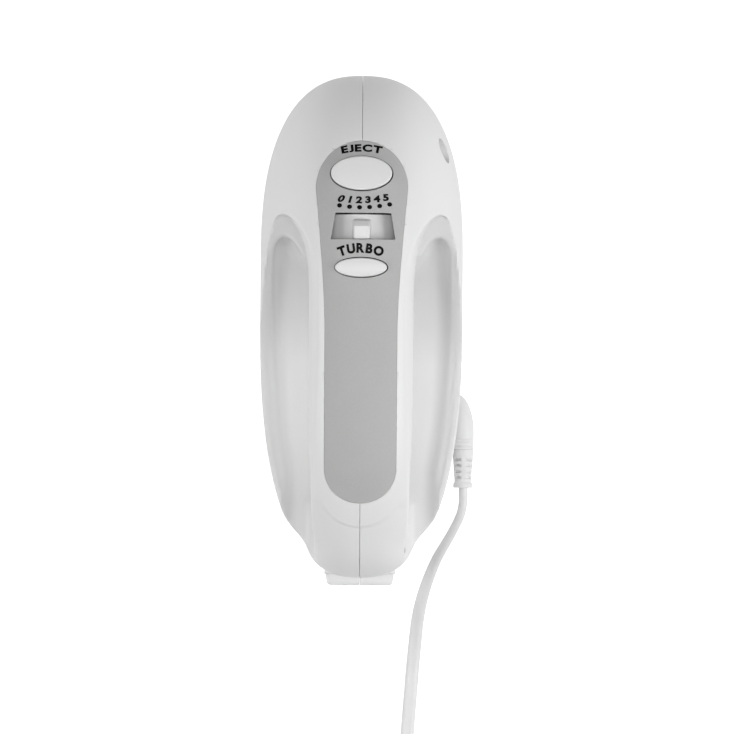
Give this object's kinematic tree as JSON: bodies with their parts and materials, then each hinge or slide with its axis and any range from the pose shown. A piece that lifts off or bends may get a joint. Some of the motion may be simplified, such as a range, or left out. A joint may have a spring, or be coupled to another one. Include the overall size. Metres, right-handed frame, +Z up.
{
  "type": "hand mixer",
  "caption": "Hand mixer with a loop handle, grey control insert, sliding speed selector, turbo and eject buttons, worm drive to beater sockets and a flat mains cord.",
  "frame": {"origin": "middle of the flat base, on the plane where the housing halves meet", "axes": "+Z up, +Y towards the nose, +X to the right as held"},
  "size_m": [0.1305, 0.3481, 0.1329],
  "materials": {
    "white_housing": "satin moulded plastic",
    "grey_insert": "matte soft-touch plastic",
    "white_button": "satin moulded plastic",
    "selector_white": "satin moulded plastic",
    "white_flexible": "soft extruded plastic",
    "zinc_steel": "zinc plated",
    "ground_steel": "ground",
    "spring_steel": "drawn wire",
    "lamination_steel": "stacked laminations",
    "cast_frame": "glass-filled plastic",
    "black_plastic": "moulded",
    "gear_plastic": "acetal",
    "bronze": "sintered",
    "brass": "stamped",
    "copper_wire": "enamelled wire",
    "copper_bar": "turned",
    "carbon": "pressed carbon",
    "board_green": "solder mask",
    "capacitor_yellow": "potted"
  },
  "bodies": {
    "housing": {"housing_left": "white_housing", "housing_right": "white_housing", "top_panel": "grey_insert", "housing_screws": "zinc_steel", "gearbox_frame": "cast_frame", "gearbox_cover": "cast_frame", "gearbox_screws": "zinc_steel", "spindle_bushes": "bronze", "stator_core": "lamination_steel", "field_coils": "copper_wire", "front_bearing": "bronze", "rear_bearing": "bronze", "motor_bracket": "black_plastic", "motor_screws": "zinc_steel", "brush_holders": "brass", "carbon_brushes": "carbon", "brush_springs": "spring_steel", "speed_switch": "black_plastic", "turbo_switch": "black_plastic", "circuit_board": "board_green", "suppressor_capacitor": "capacitor_yellow", "cord_clamp": "black_plastic", "clamp_screws": "zinc_steel", "eject_spring": "spring_steel", "turbo_spring": "spring_steel", "cord_outlet": "white_housing", "strain_relief": "white_flexible", "cord": "white_flexible", "cord_coil": "white_flexible", "cord_tail": "white_flexible", "cord_tie": "white_flexible", "plug_body": "white_flexible", "plug_pins": "ground_steel"},
    "armature": {"motor_shaft": "ground_steel", "armature_core": "lamination_steel", "armature_windings": "copper_wire", "commutator": "copper_bar", "cooling_fan": "black_plastic", "worm": "ground_steel"},
    "spindle_left": {"gear_left": "gear_plastic", "spindle_left": "ground_steel", "spindle_clip_left": "spring_steel"},
    "spindle_right": {"gear_right": "gear_plastic", "spindle_right": "ground_steel", "spindle_clip_right": "spring_steel"},
    "ejector": {"eject_button": "white_button", "ejector_yoke": "cast_frame"},
    "selector": {"speed_selector": "selector_white"},
    "turbo": {"turbo_button": "white_button"}
  },
  "joints": [
    {"name": "motor_spin", "type": "hinge", "parent": "housing", "child": "armature", "pos_m": [0, 0.058, 0.033], "axis": [0, 1, 0], "continuous": true},
    {"name": "left_spindle_spin", "type": "hinge", "parent": "housing", "child": "spindle_left", "pos_m": [-0.018, 0.058, 0.033], "axis": [0, 0, 1], "continuous": true},
    {"name": "right_spindle_spin", "type": "hinge", "parent": "housing", "child": "spindle_right", "pos_m": [0.018, 0.058, 0.033], "axis": [0, 0, 1], "continuous": true},
    {"name": "eject_press", "type": "slide", "parent": "housing", "child": "ejector", "axis": [0, 0, -1], "range_m": [0, 0.005], "stiffness_N_per_m": 800, "springref_m": -0.002, "deforming": ["eject_spring"]},
    {"name": "turbo_press", "type": "slide", "parent": "housing", "child": "turbo", "axis": [0, 0, -1], "range_m": [0, 0.0024], "stiffness_N_per_m": 500, "springref_m": -0.001, "deforming": ["turbo_spring"]},
    {"name": "speed_select", "type": "hinge", "parent": "housing", "child": "selector", "pos_m": [0, 0.039, 0.1065], "axis": [0, 1, 0], "range_deg": [-12, 18]}
  ],
  "couplings": [
    {"joint": "left_spindle_spin", "follows": "motor_spin", "ratio": 0.076923},
    {"joint": "right_spindle_spin", "follows": "motor_spin", "ratio": -0.076923}
  ]
}
